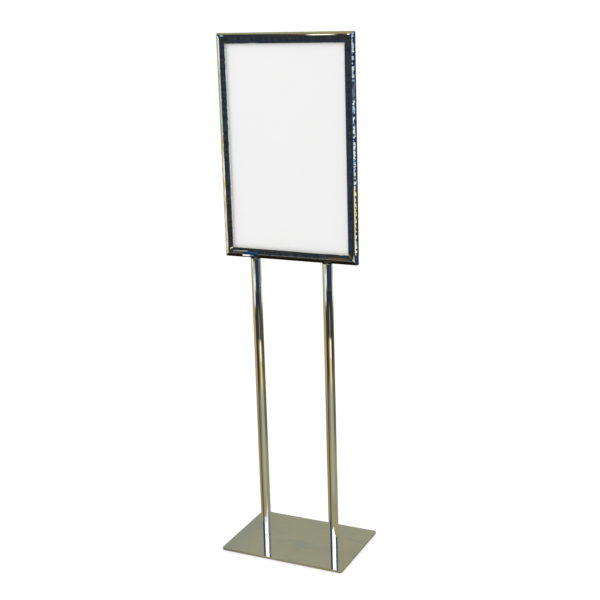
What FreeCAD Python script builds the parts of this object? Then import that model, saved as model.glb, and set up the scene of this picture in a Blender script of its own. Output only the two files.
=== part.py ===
import FreeCAD, Part
import math
import os

import Sketcher

# A floor sign stand. A mitred frame of slotted steel tube holds a 14 by 22 inch show card. Two round
# posts carry the frame, and a flat steel plate carries the posts.
#
# Origin: on the floor, under the middle of the base plate. +X runs to the right of a person who reads
# the card, +Y runs away from that person, and +Z runs up. All lengths are in millimetres.

DRIVING_DIMENSIONS = {
    # The card, 14 by 22 inches, and the gap it has on each side in its groove
    "card_width": 355.6,
    "card_height": 558.8,
    "card_thick": 1.6,
    "card_gap": 1.2,
    # The frame, over its outer edges, and the height of its underside above the floor
    "frame_width": 381.0,
    "frame_height": 578.0,
    "frame_underside": 802.0,
    # The slotted tube that the frame's four members are cut from
    "member_face": 27.0,
    "member_depth": 15.875,
    "member_wall": 1.5,
    "flank_round": 16.0,
    "nose_round": 6.0,
    "inner_round": 1.8,
    "mitre_round": 7.0,
    "corner_fill": 8.0,
    "groove_gap": 3.6,
    "lip_round": 0.6,
    # The posts
    "post_diameter": 26.9,
    "post_wall": 1.5,
    "post_spacing": 206.0,
    # The threaded plugs in the posts' ends
    "insert_length": 16.0,
    "insert_gap": 0.03,
    "insert_bevel": 1.0,
    # The base plate
    "base_width": 358.0,
    "base_depth": 252.0,
    "base_thick": 6.0,
    "base_corner": 9.0,
    "base_edge": 1.2,
    # The M8 fasteners, with plain shanks and bores in place of threads
    "thread_diameter": 8.0,
    "thread_gap": 0.05,
    "clearance_hole": 9.0,
    "screw_length": 20.0,
    "screw_head": 15.8,
    "screw_recess": 0.3,
    "sink_diameter": 16.5,
    "socket_flats": 5.0,
    "socket_deep": 2.6,
    "shank_bevel": 0.8,
    "stud_length": 22.0,
    "block_length": 24.0,
    "block_height": 8.0,
    "block_gap": 0.2,
    # The rubber pads under the plate
    "pad_diameter": 19.0,
    "pad_thick": 2.0,
    "pad_inset": 24.0,
    "pad_edge": 0.5,
}

# Numbers that a sketch knows its axes and the points of its elements by
HORIZONTAL_AXIS = -1
VERTICAL_AXIS = -2
START = 1
END = 2
CENTRE = 3
ORIGIN = (HORIZONTAL_AXIS, START)

# Lengths that several sub-parts share, as expressions over the sheet
HALF_SPACING = "Sizes.post_spacing / 2"
GROOVE_FLOOR = "((Sizes.frame_width - Sizes.card_width) / 2 - Sizes.card_gap)"
POST_SIDES = (("left", "-1"), ("right", "1"))

document = FreeCAD.newDocument("sign_stand")
sizes = document.addObject("Spreadsheet::Sheet", "Sizes")
for row, (alias, length) in enumerate(DRIVING_DIMENSIONS.items(), start=1):
    sizes.set(f"A{row}", alias)
    sizes.set(f"B{row}", str(length))
    sizes.setAlias(f"B{row}", alias)
document.recompute()

sub_parts = []


def value(expression):
    """Return what an expression over the sheet comes to now."""
    return float(sizes.evalExpression(expression))


# Bodies, sketches and features


def new_body(label):
    """Start a sub-part; its label is the name of its file."""
    body = document.addObject("PartDesign::Body", label)
    body.Label = label
    sub_parts.append(body)
    return body


def place(part, x="0", y="0", z="0", axis=(0, 0, 1), angle=0):
    """Turn a sub-part about an axis, then bind where its own origin sits."""
    part.Placement = FreeCAD.Placement(FreeCAD.Vector(), FreeCAD.Rotation(FreeCAD.Vector(*axis), angle))
    for direction, expression in (("x", x), ("y", y), ("z", z)):
        part.setExpression(f"Placement.Base.{direction}", expression)


def new_sketch(body, name, plane):
    """Start a sketch on one of the body's origin planes."""
    sketch = body.newObject("Sketcher::SketchObject", name)
    support = next(feature for feature in body.Origin.OriginFeatures if feature.Role == plane)
    sketch.AttachmentSupport = (support, "")
    sketch.MapMode = "FlatFace"
    return sketch


def bind(sketch, constraint, expression):
    """Add a sized constraint and drive it from the sheet."""
    index = sketch.addConstraint(Sketcher.Constraint(*constraint, value(expression)))
    sketch.setExpression(f"Constraints[{index}]", expression)


def hold_point(sketch, geometry, end, across, up):
    """Hold one point of a sketch element at the place that two expressions give."""
    for kind, axis, expression in (
        ("DistanceX", VERTICAL_AXIS, across),
        ("DistanceY", HORIZONTAL_AXIS, up),
    ):
        if expression == "0":
            sketch.addConstraint(Sketcher.Constraint("PointOnObject", geometry, end, axis))
        else:
            bind(sketch, (kind, *ORIGIN, geometry, end), expression)


def draw_circle(sketch, diameter, across="0", up="0"):
    centre = FreeCAD.Vector(value(across), value(up), 0)
    circle = sketch.addGeometry(Part.Circle(centre, FreeCAD.Vector(0, 0, 1), value(diameter) / 2))
    hold_point(sketch, circle, CENTRE, across, up)
    bind(sketch, ("Diameter", circle), diameter)


def draw_polygon(sketch, corners):
    """Draw a closed outline of straight lines between corners given as pairs of expressions."""
    points = [FreeCAD.Vector(value(across), value(up), 0) for across, up in corners]
    sides = [
        sketch.addGeometry(Part.LineSegment(point, points[(index + 1) % len(points)]))
        for index, point in enumerate(points)
    ]
    for index, (across, up) in enumerate(corners):
        sketch.addConstraint(Sketcher.Constraint("Coincident", sides[index - 1], END, sides[index], START))
        hold_point(sketch, sides[index], START, across, up)


def draw_rectangle(sketch, left, right, low, high):
    draw_polygon(sketch, [(left, low), (right, low), (right, high), (left, high)])


def draw_rounded_rectangle(sketch, left, right, low, high, low_radius, high_radius):
    """Draw a rectangle whose two low corners share one radius and whose two high corners share another."""
    west, east, south, north = (value(expression) for expression in (left, right, low, high))
    low_size, high_size = value(low_radius), value(high_radius)
    sides = [
        ((west + low_size, south), (east - low_size, south)),
        ((east, south + low_size), (east, north - high_size)),
        ((east - high_size, north), (west + high_size, north)),
        ((west, north - high_size), (west, south + low_size)),
    ]
    corners = [
        ((east - low_size, south + low_size), low_size, 270),
        ((east - high_size, north - high_size), high_size, 0),
        ((west + high_size, north - high_size), high_size, 90),
        ((west + low_size, south + low_size), low_size, 180),
    ]
    lines = []
    arcs = []
    for (first, last), (centre, radius, turn) in zip(sides, corners, strict=True):
        line = Part.LineSegment(FreeCAD.Vector(*first, 0), FreeCAD.Vector(*last, 0))
        lines.append(sketch.addGeometry(line))
        circle = Part.Circle(FreeCAD.Vector(*centre, 0), FreeCAD.Vector(0, 0, 1), radius)
        arc = Part.ArcOfCircle(circle, math.radians(turn), math.radians(turn + 90))
        arcs.append(sketch.addGeometry(arc))
    for index, kind in enumerate(("Horizontal", "Vertical", "Horizontal", "Vertical")):
        following = lines[(index + 1) % len(lines)]
        sketch.addConstraint(Sketcher.Constraint(kind, lines[index]))
        sketch.addConstraint(Sketcher.Constraint("Tangent", lines[index], END, arcs[index], START))
        sketch.addConstraint(Sketcher.Constraint("Tangent", arcs[index], END, following, START))
    sketch.addConstraint(Sketcher.Constraint("Equal", arcs[0], arcs[3]))
    sketch.addConstraint(Sketcher.Constraint("Equal", arcs[1], arcs[2]))
    bind(sketch, ("Radius", arcs[0]), low_radius)
    bind(sketch, ("Radius", arcs[1]), high_radius)
    bind(sketch, ("DistanceY", *ORIGIN, lines[0], START), low)
    bind(sketch, ("DistanceX", *ORIGIN, lines[1], START), right)
    bind(sketch, ("DistanceY", *ORIGIN, lines[2], START), high)
    bind(sketch, ("DistanceX", *ORIGIN, lines[3], START), left)


def draw_arc(sketch, centre, radius, first, last):
    """Draw an arc, anticlockwise between two angles in radians; its sizes are still free."""
    circle = Part.Circle(FreeCAD.Vector(*centre, 0), FreeCAD.Vector(0, 0, 1), radius)
    return sketch.addGeometry(Part.ArcOfCircle(circle, first, last))


def draw_half_oval(sketch, half_width, flank_radius, nose_radius, low):
    """Draw three arcs that make half an oval, open at the top, and return them from left to right.

    The oval's nose is centred on the sketch's upright axis, with its lowest point at the height low.
    The two flanks come up from it to half_width on either side.
    """
    half, flank, nose = value(half_width), value(flank_radius), value(nose_radius)
    lean = math.acos((flank - half) / (flank - nose))
    nose_centre = value(low) + nose
    flank_centre = nose_centre + (flank - nose) * math.sin(lean)
    arcs = (
        draw_arc(sketch, (flank - half, flank_centre), flank, math.pi, math.pi + lean),
        draw_arc(sketch, (0, nose_centre), nose, math.pi + lean, math.tau - lean),
        draw_arc(sketch, (half - flank, flank_centre), flank, -lean, 0),
    )
    sketch.addConstraint(Sketcher.Constraint("Tangent", arcs[0], END, arcs[1], START))
    sketch.addConstraint(Sketcher.Constraint("Tangent", arcs[1], END, arcs[2], START))
    sketch.addConstraint(Sketcher.Constraint("Equal", arcs[0], arcs[2]))
    bind(sketch, ("Radius", arcs[0]), flank_radius)
    bind(sketch, ("Radius", arcs[1]), nose_radius)
    hold_point(sketch, arcs[1], CENTRE, "0", f"{low} + {nose_radius}")
    return arcs


def draw_round_edged_strip(sketch, half_width, low, high, flank_radius, nose_radius, high_radius):
    """Draw an upright strip: half an oval as its low edge, and two small round corners at its high edge."""
    left_flank, nose, right_flank = draw_half_oval(sketch, half_width, flank_radius, nose_radius, low)
    half, top, corner = value(half_width), value(high), value(high_radius)
    flank_end = value(low) + value(nose_radius) + math.sqrt(
        (value(flank_radius) - value(nose_radius)) ** 2 - (value(flank_radius) - half) ** 2
    )
    points = [
        ((half, flank_end), (half, top - corner)),
        ((half - corner, top), (corner - half, top)),
        ((-half, top - corner), (-half, flank_end)),
    ]
    lines = [
        sketch.addGeometry(Part.LineSegment(FreeCAD.Vector(*first, 0), FreeCAD.Vector(*last, 0)))
        for first, last in points
    ]
    right_corner = draw_arc(sketch, (half - corner, top - corner), corner, 0, math.pi / 2)
    left_corner = draw_arc(sketch, (corner - half, top - corner), corner, math.pi / 2, math.pi)
    round_trip = (right_flank, lines[0], right_corner, lines[1], left_corner, lines[2], left_flank)
    for element, following in zip(round_trip, round_trip[1:], strict=False):
        sketch.addConstraint(Sketcher.Constraint("Tangent", element, END, following, START))
    for kind, line in zip(("Vertical", "Horizontal", "Vertical"), lines, strict=True):
        sketch.addConstraint(Sketcher.Constraint(kind, line))
    sketch.addConstraint(Sketcher.Constraint("Equal", left_corner, right_corner))
    bind(sketch, ("Radius", right_corner), high_radius)
    bind(sketch, ("DistanceX", *ORIGIN, lines[0], START), half_width)
    bind(sketch, ("DistanceY", *ORIGIN, lines[1], START), high)
    bind(sketch, ("DistanceX", *ORIGIN, lines[2], START), f"-({half_width})")


def draw_hexagon(sketch, flats):
    """Draw a hexagon of a given size across its flats, which lie above and below the centre."""
    half_side = f"({flats}) / 2 * tan(30 deg)"
    half_corners = f"({flats}) / 2 / cos(30 deg)"
    half_flats = f"({flats}) / 2"
    draw_polygon(
        sketch,
        [
            (half_corners, "0"),
            (half_side, half_flats),
            (f"-{half_side}", half_flats),
            (f"-({half_corners})", "0"),
            (f"-{half_side}", f"-({half_flats})"),
            (half_side, f"-({half_flats})"),
        ],
    )


def add_pad(body, sketch, length, midplane=False):
    pad = body.newObject("PartDesign::Pad", f"{sketch.Name}_pad")
    pad.Profile = sketch
    pad.Midplane = midplane
    pad.setExpression("Length", length)
    document.recompute()
    return pad


def add_pocket(body, sketch, depth, midplane=False):
    """Cut a sketch into the body along the sketch's own normal, and make sure that it cut something."""
    before = body.Shape.Volume
    pocket = body.newObject("PartDesign::Pocket", f"{sketch.Name}_pocket")
    pocket.Profile = sketch
    pocket.Midplane = midplane
    pocket.Reversed = True
    pocket.setExpression("Length", depth)
    document.recompute()
    if not body.Shape.Volume < before:
        raise RuntimeError(f"{pocket.Name} cuts nothing")
    return pocket


def edges_where(shape, wanted):
    """Name the edges of a shape whose bounding box passes a test."""
    return [f"Edge{number}" for number, edge in enumerate(shape.Edges, start=1) if wanted(edge.BoundBox)]


def dress_edges(body, kind, size, wanted):
    """Round or bevel the edges of the body's last feature that pass a test."""
    base = body.Tip
    names = edges_where(base.Shape, wanted)
    if not names:
        raise RuntimeError(f"no edges of {body.Label} to dress")
    feature = body.newObject(f"PartDesign::{kind}", f"{base.Name}_{kind.lower()}")
    feature.Base = (base, names)
    feature.setExpression("Radius" if kind == "Fillet" else "Size", size)
    document.recompute()
    return feature


def flat_at(box, height):
    """Say whether a bounding box lies flat at a height."""
    return abs(box.ZMin - height) < 0.001 and abs(box.ZMax - height) < 0.001


# Base


def make_base_plate():
    """Flat plate with two screw holes, countersunk from below, on its centre line."""
    body = new_body("base_plate")
    place(body, z="Sizes.pad_thick")
    outline = new_sketch(body, "plate_outline", "XY_Plane")
    half_width = "Sizes.base_width / 2"
    half_depth = "Sizes.base_depth / 2"
    corner = "Sizes.base_corner"
    draw_rounded_rectangle(
        outline, f"-{half_width}", half_width, f"-{half_depth}", half_depth, corner, corner
    )
    add_pad(body, outline, "Sizes.base_thick")
    thickness = value("Sizes.base_thick")
    dress_edges(body, "Fillet", "Sizes.base_edge", lambda box: flat_at(box, thickness) or flat_at(box, 0))
    holes = new_sketch(body, "plate_holes", "XY_Plane")
    for _, sign in POST_SIDES:
        draw_circle(holes, "Sizes.clearance_hole", across=f"{sign} * {HALF_SPACING}")
    add_pocket(body, holes, "Sizes.base_thick")
    sink = "(Sizes.sink_diameter - Sizes.clearance_hole) / 2"
    largest = value("Sizes.sink_diameter")
    dress_edges(body, "Chamfer", sink, lambda box: flat_at(box, 0) and box.DiagonalLength < largest)


def make_pads():
    """Four round pads under the plate, one near each corner."""
    for depth_name, depth_sign in (("front", "-1"), ("rear", "1")):
        for side_name, side_sign in POST_SIDES:
            body = new_body(f"{depth_name}_{side_name}_pad")
            place(
                body,
                x=f"{side_sign} * (Sizes.base_width / 2 - Sizes.pad_inset)",
                y=f"{depth_sign} * (Sizes.base_depth / 2 - Sizes.pad_inset)",
            )
            disc = new_sketch(body, f"{body.Label}_disc", "XY_Plane")
            draw_circle(disc, "Sizes.pad_diameter")
            add_pad(body, disc, "Sizes.pad_thick")
            dress_edges(body, "Fillet", "Sizes.pad_edge", lambda box: flat_at(box, 0))


def make_base_screw(side, sign):
    """Countersunk socket screw that stands head down in the plate."""
    body = new_body(f"{side}_base_screw")
    place(body, x=f"{sign} * {HALF_SPACING}", z="Sizes.pad_thick + Sizes.screw_recess")
    head = "Sizes.screw_head / 2"
    shank = "Sizes.thread_diameter / 2"
    length = "(Sizes.screw_length - Sizes.screw_recess)"
    profile = new_sketch(body, f"{side}_screw_profile", "XZ_Plane")
    draw_polygon(
        profile,
        [
            ("0", "0"),
            (head, "0"),
            (shank, f"{head} - {shank}"),
            (shank, f"{length} - Sizes.shank_bevel"),
            (f"{shank} - Sizes.shank_bevel", length),
            ("0", length),
        ],
    )
    screw = body.newObject("PartDesign::Revolution", f"{side}_screw_turned")
    screw.Profile = profile
    screw.ReferenceAxis = (profile, ["V_Axis"])
    screw.Angle = 360
    document.recompute()
    socket = new_sketch(body, f"{side}_screw_socket", "XY_Plane")
    draw_hexagon(socket, "Sizes.socket_flats")
    add_pocket(body, socket, "Sizes.socket_deep")


# Posts


def make_post(side, sign):
    """Round tube from the plate's top to the frame's underside."""
    body = new_body(f"{side}_post")
    place(body, x=f"{sign} * {HALF_SPACING}", z="Sizes.pad_thick + Sizes.base_thick")
    ring = new_sketch(body, f"{side}_post_ring", "XY_Plane")
    draw_circle(ring, "Sizes.post_diameter")
    draw_circle(ring, "Sizes.post_diameter - 2 * Sizes.post_wall")
    add_pad(body, ring, "Sizes.frame_underside - Sizes.pad_thick - Sizes.base_thick")


def make_insert(side, sign, end, height, inner_face):
    """Threaded plug in one end of a post, flush with that end and bevelled at its inner face."""
    body = new_body(f"{side}_{end}_insert")
    place(body, x=f"{sign} * {HALF_SPACING}", z=height)
    ring = new_sketch(body, f"{side}_{end}_insert_ring", "XY_Plane")
    draw_circle(ring, "Sizes.post_diameter - 2 * (Sizes.post_wall + Sizes.insert_gap)")
    draw_circle(ring, "Sizes.thread_diameter + 2 * Sizes.thread_gap")
    add_pad(body, ring, "Sizes.insert_length")
    dress_edges(body, "Chamfer", "Sizes.insert_bevel", lambda box: flat_at(box, value(inner_face)))


def make_frame_stud(side, sign):
    """Headless socket stud, from the plug in the post's head up into the anchor block."""
    body = new_body(f"{side}_frame_stud")
    top = "(Sizes.frame_underside + Sizes.member_wall + Sizes.block_height)"
    place(body, x=f"{sign} * {HALF_SPACING}", z=f"{top} - Sizes.stud_length")
    disc = new_sketch(body, f"{side}_stud_disc", "XY_Plane")
    draw_circle(disc, "Sizes.thread_diameter")
    add_pad(body, disc, "Sizes.stud_length")
    length = value("Sizes.stud_length")
    dress_edges(body, "Chamfer", "Sizes.shank_bevel", lambda box: flat_at(box, 0) or flat_at(box, length))
    socket = new_sketch(body, f"{side}_stud_socket", "XY_Plane")
    draw_hexagon(socket, "Sizes.thread_diameter / 2")
    add_pocket(body, socket, "Sizes.socket_deep")


def make_anchor_block(side, sign):
    """Threaded block on the inside of the bottom rail's lower wall, shaped below to fit the tube."""
    body = new_body(f"{side}_anchor_block")
    place(body, x=f"{sign} * {HALF_SPACING}", z="Sizes.frame_underside + Sizes.member_wall")
    inset = "(Sizes.member_wall + Sizes.block_gap)"
    half_width = f"(Sizes.member_depth / 2 - {inset})"
    flank_radius = f"(Sizes.flank_round - {inset})"
    section = new_sketch(body, f"{side}_block_section", "YZ_Plane")
    left_flank, _, right_flank = draw_half_oval(
        section, half_width, flank_radius, f"(Sizes.nose_round - {inset})", "0"
    )
    for flank, centre in (
        (left_flank, f"{flank_radius} - {half_width}"),
        (right_flank, f"{half_width} - {flank_radius}"),
    ):
        bind(section, ("DistanceX", *ORIGIN, flank, CENTRE), centre)
    height = value("Sizes.block_height")
    half = value(half_width)
    ends = (FreeCAD.Vector(half, height, 0), FreeCAD.Vector(-half, height, 0))
    top = section.addGeometry(Part.LineSegment(*ends))
    section.addConstraint(Sketcher.Constraint("Coincident", right_flank, END, top, START))
    section.addConstraint(Sketcher.Constraint("Coincident", top, END, left_flank, START))
    section.addConstraint(Sketcher.Constraint("Horizontal", top))
    bind(section, ("DistanceY", *ORIGIN, top, START), "Sizes.block_height")
    add_pad(body, section, "Sizes.block_length", midplane=True)
    bore = new_sketch(body, f"{side}_block_bore", "XY_Plane")
    draw_circle(bore, "Sizes.thread_diameter + 2 * Sizes.thread_gap")
    add_pocket(body, bore, "Sizes.block_height")


# Frame
#
# Each member lies along its own X, centred. Its outer edge is at Z = 0 and its inner edge, with the
# groove, is at Z = member_face. Its front and back are at Y = -member_depth / 2 and member_depth / 2.

HALF_DEPTH = "Sizes.member_depth / 2"
HALF_GAP = "Sizes.groove_gap / 2"
WALL = "Sizes.member_wall"


def slotted_tube(body, length):
    """Round-edged tube with a closed groove, deep enough for the card, in its inner edge.

    Its last corner_fill of length is solid, where the corner's weld is later ground round.
    """
    name = body.Label
    shell = new_sketch(body, f"{name}_shell", "YZ_Plane")
    draw_round_edged_strip(
        shell,
        HALF_DEPTH,
        "0",
        "Sizes.member_face",
        "Sizes.flank_round",
        "Sizes.nose_round",
        "Sizes.inner_round",
    )
    add_pad(body, shell, length, midplane=True)
    hollow = new_sketch(body, f"{name}_hollow", "YZ_Plane")
    draw_round_edged_strip(
        hollow,
        f"({HALF_DEPTH} - {WALL})",
        WALL,
        f"Sizes.member_face - {WALL}",
        f"(Sizes.flank_round - {WALL})",
        f"(Sizes.nose_round - {WALL})",
        f"Sizes.inner_round - {WALL}",
    )
    add_pocket(body, hollow, f"{length} - 2 * Sizes.corner_fill", midplane=True)
    groove_walls = new_sketch(body, f"{name}_groove_walls", "YZ_Plane")
    draw_rectangle(
        groove_walls,
        f"-({HALF_GAP} + {WALL})",
        f"{HALF_GAP} + {WALL}",
        f"{GROOVE_FLOOR} - {WALL}",
        f"Sizes.member_face - {WALL} / 2",
    )
    add_pad(body, groove_walls, length, midplane=True)
    groove = new_sketch(body, f"{name}_groove", "YZ_Plane")
    draw_rectangle(groove, f"-{HALF_GAP}", HALF_GAP, GROOVE_FLOOR, f"Sizes.member_face + {WALL}")
    add_pocket(body, groove, f"{length} + 2 * {WALL}", midplane=True)
    face = value("Sizes.member_face")
    half_gap = value(HALF_GAP)
    dress_edges(
        body,
        "Fillet",
        "Sizes.lip_round",
        lambda box: flat_at(box, face) and abs(abs(box.YMin) - half_gap) < 0.001 and box.XLength > face,
    )


def draw_mitre(sketch, half_length, sign):
    """Draw the waste beyond one 45 degree mitre with a rounded outer tip; sign is 1 or -1 for the end."""
    face = "Sizes.member_face"
    radius = "Sizes.mitre_round"
    middle = "(1 - cos(45 deg)) * Sizes.mitre_round"
    corners = [
        (f"{sign} * ({half_length} - {radius})", "0"),
        (f"{sign} * ({half_length} - {middle})", middle),
        (f"{sign} * ({half_length} - {face})", face),
        (f"{sign} * ({half_length} - {face})", f"{face} + {WALL}"),
        (f"{sign} * ({half_length} + {WALL})", f"{face} + {WALL}"),
        (f"{sign} * ({half_length} + {WALL})", f"-{WALL}"),
        (f"{sign} * ({half_length} - {radius})", f"-{WALL}"),
    ]
    points = [FreeCAD.Vector(value(across), value(up), 0) for across, up in corners]
    eighth = math.radians(22.5)
    size = value(radius)
    centre_across = value(f"{half_length} - {radius}")
    crown = FreeCAD.Vector(
        value(sign) * (centre_across + size * math.sin(eighth)), size * (1 - math.cos(eighth)), 0
    )
    elements = [sketch.addGeometry(Part.Arc(points[0], crown, points[1]))]
    for first, last in zip(points[1:], points[2:] + points[:1], strict=True):
        elements.append(sketch.addGeometry(Part.LineSegment(first, last)))
    # An arc is stored anticlockwise, so on the left end its start is the point on the mitre.
    arc_ends = (START, END) if value(sign) > 0 else (END, START)
    sketch.addConstraint(Sketcher.Constraint("Coincident", elements[0], arc_ends[1], elements[1], START))
    sketch.addConstraint(Sketcher.Constraint("Coincident", elements[-1], END, elements[0], arc_ends[0]))
    for element, following in zip(elements[1:], elements[2:], strict=False):
        sketch.addConstraint(Sketcher.Constraint("Coincident", element, END, following, START))
    for element, (across, up) in zip(elements[1:], corners[1:], strict=True):
        hold_point(sketch, element, START, across, up)
    hold_point(sketch, elements[0], arc_ends[0], *corners[0])
    bind(sketch, ("Radius", elements[0]), radius)


def cut_mitres(body, length):
    waste = new_sketch(body, f"{body.Label}_mitres", "XZ_Plane")
    for sign in ("1", "-1"):
        draw_mitre(waste, f"{length} / 2", sign)
    add_pocket(body, waste, f"Sizes.member_depth + 2 * {WALL}", midplane=True)


def make_stile(side, sign):
    """Upright member; its groove faces the card."""
    body = new_body(f"{side}_stile")
    place(
        body,
        x=f"{sign} * Sizes.frame_width / 2",
        z="Sizes.frame_underside + Sizes.frame_height / 2",
        axis=(0, 1, 0),
        angle=-90 * value(sign),
    )
    slotted_tube(body, "Sizes.frame_height")
    cut_mitres(body, "Sizes.frame_height")


def make_top_rail():
    """Top member, with a slot right through it that the card drops in by."""
    body = new_body("top_rail")
    place(body, z="Sizes.frame_underside + Sizes.frame_height", axis=(0, 1, 0), angle=180)
    slotted_tube(body, "Sizes.frame_width")
    cut_mitres(body, "Sizes.frame_width")
    slot = new_sketch(body, "card_slot", "XY_Plane")
    half_slot = "(Sizes.card_width / 2 + Sizes.card_gap)"
    draw_rectangle(slot, f"-{half_slot}", half_slot, f"-{HALF_GAP}", HALF_GAP)
    add_pocket(body, slot, GROOVE_FLOOR)
    wall = value(WALL)
    half_gap = value(HALF_GAP)
    dress_edges(
        body,
        "Fillet",
        "Sizes.lip_round",
        lambda box: box.ZMax < wall and box.YLength < 0.001 and abs(abs(box.YMin) - half_gap) < 0.001,
    )


def make_bottom_rail():
    """Bottom member, with two holes in its lower wall for the studs."""
    body = new_body("bottom_rail")
    place(body, z="Sizes.frame_underside")
    slotted_tube(body, "Sizes.frame_width")
    cut_mitres(body, "Sizes.frame_width")
    holes = new_sketch(body, "stud_holes", "XY_Plane")
    for _, sign in POST_SIDES:
        draw_circle(holes, "Sizes.clearance_hole", across=f"{sign} * {HALF_SPACING}")
    add_pocket(body, holes, "Sizes.block_height")


def make_sign_card():
    """Show card, standing on the floor of the bottom rail's groove."""
    card = document.addObject("Part::Box", "sign_card")
    card.Label = "sign_card"
    card.setExpression("Length", "Sizes.card_width")
    card.setExpression("Width", "Sizes.card_thick")
    card.setExpression("Height", "Sizes.card_height")
    place(
        card,
        x="-Sizes.card_width / 2",
        y="-Sizes.card_thick / 2",
        z=f"Sizes.frame_underside + {GROOVE_FLOOR}",
    )
    sub_parts.append(card)


make_base_plate()
make_pads()
make_bottom_rail()
make_top_rail()
make_sign_card()
for side, sign in POST_SIDES:
    make_base_screw(side, sign)
    make_post(side, sign)
    make_insert(side, sign, "foot", "Sizes.pad_thick + Sizes.base_thick", "Sizes.insert_length")
    make_insert(side, sign, "head", "Sizes.frame_underside - Sizes.insert_length", "0")
    make_frame_stud(side, sign)
    make_anchor_block(side, sign)
    make_stile(side, sign)
document.recompute()

for item in document.Objects:
    if "Invalid" in item.State or "Error" in item.State:
        raise RuntimeError(f"{item.Name} did not build: {item.State}")
    if item.TypeId == "Sketcher::SketchObject" and not item.FullyConstrained:
        raise RuntimeError(f"{item.Name} is not fully constrained")
for part in sub_parts:
    if part.Shape.isNull() or not part.Shape.isValid():
        raise RuntimeError(f"{part.Label} has no valid shape")

os.makedirs("parts", exist_ok=True)
for part in sub_parts:
    part.Shape.exportStep(f"parts/{part.Label}.step")
    print(f"{part.Label}: {part.Shape.Volume:.1f} cubic mm, {len(part.Shape.Solids)} solid")
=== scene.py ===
import math

import bmesh
import bpy
from mathutils import Matrix, Vector


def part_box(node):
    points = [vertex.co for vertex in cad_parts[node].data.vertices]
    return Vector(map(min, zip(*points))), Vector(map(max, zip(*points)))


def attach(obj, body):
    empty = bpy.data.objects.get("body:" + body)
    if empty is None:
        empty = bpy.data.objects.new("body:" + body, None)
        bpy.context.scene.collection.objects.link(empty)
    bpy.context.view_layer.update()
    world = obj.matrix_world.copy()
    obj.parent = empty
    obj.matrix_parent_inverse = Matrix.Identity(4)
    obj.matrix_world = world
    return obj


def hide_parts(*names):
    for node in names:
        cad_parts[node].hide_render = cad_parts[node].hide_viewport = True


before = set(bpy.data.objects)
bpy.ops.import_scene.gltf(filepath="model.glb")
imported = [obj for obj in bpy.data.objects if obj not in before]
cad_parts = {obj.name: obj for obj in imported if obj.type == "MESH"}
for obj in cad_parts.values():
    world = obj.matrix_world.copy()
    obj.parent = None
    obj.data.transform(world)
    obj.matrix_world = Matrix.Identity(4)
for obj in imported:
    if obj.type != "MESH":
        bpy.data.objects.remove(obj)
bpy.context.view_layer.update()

# A chrome sign stand in a plain pale studio. Lengths are in metres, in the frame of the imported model:
# +X is to the right of a person who reads the card, +Y is away from that person and +Z is up.

MM = 0.001

# Camera: where it stands, how it is turned in degrees, and its lens in millimetres
CAMERA_PLACE = (1.261, -2.584, 1.4655)
CAMERA_TURN = 25.61
CAMERA_DOWN = 15.0
CAMERA_ROLL = -1.74
CAMERA_LENS = 68.17
CAMERA_SENSOR = 36.0

# Studio: the soft lamp, and half the width of the floor
LAMP_PLACE = (-1.6, -2.2, 3.4)
LAMP_AIM = (0.0, 0.0, 0.6)
LAMP_WIDTH = 2.4
LAMP_WATTS = 22.0
FLOOR_HALF = 30.0

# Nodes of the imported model, by what they are made of
SIDES = ("left", "right")
FRAME_MEMBERS = ("left_stile", "right_stile", "top_rail", "bottom_rail")
ZINC_KINDS = ("base_screw", "foot_insert", "head_insert", "frame_stud", "anchor_block")
PADS = ("front_left_pad", "front_right_pad", "rear_left_pad", "rear_right_pad")

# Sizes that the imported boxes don't show: walls, gaps and rounded edges of the metal
TUBE_WALL = 1.5 * MM
GROOVE_GAP = 3.6 * MM
FLANK_ROUND = 16.0 * MM
NOSE_ROUND = 6.0 * MM
INNER_ROUND = 1.8 * MM
MITRE_ROUND = 7.0 * MM
CORNER_FILL = 8.0 * MM
LIP_ROUND = 0.6 * MM
CAVITY_LIP_ROUND = 0.3 * MM
SLOT_GAP = 3.5 * MM
PLATE_CORNER = 9.0 * MM
PLATE_EDGE = 1.2 * MM
SCREW_HOLE = 9.0 * MM
SINK_WIDTH = 16.5 * MM
STUD_HOLE = 9.0 * MM
STUD_HOLE_DEPTH = 8.0 * MM
POST_EASE = 0.3 * MM
CARD_BOW = 0.35 * MM

# Widths of the small bevels that ease sharp edges, and the turns in degrees that count as sharp
MEMBER_BEVEL = 0.15 * MM
CARD_BEVEL = 0.25 * MM
FASTENER_BEVEL = 0.15 * MM
BEVEL_OVER = 40
SHADE_SHARP_OVER = 28
WELD_GAP = 0.001 * MM

# How finely the meshes are divided
ROUND_SEGMENTS = 96
HOLE_SEGMENTS = 64
POST_LENGTHS = 24
MEMBER_LENGTHS = 28
PLATE_EDGE_STEPS = 6
CARD_COLUMNS = 24
CARD_ROWS = 36

# Outer edges of the frame, which its four members share
frame_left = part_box("left_stile")[0].x
frame_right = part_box("right_stile")[1].x
frame_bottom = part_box("bottom_rail")[0].z
frame_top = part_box("top_rail")[1].z


# Node trees


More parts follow.
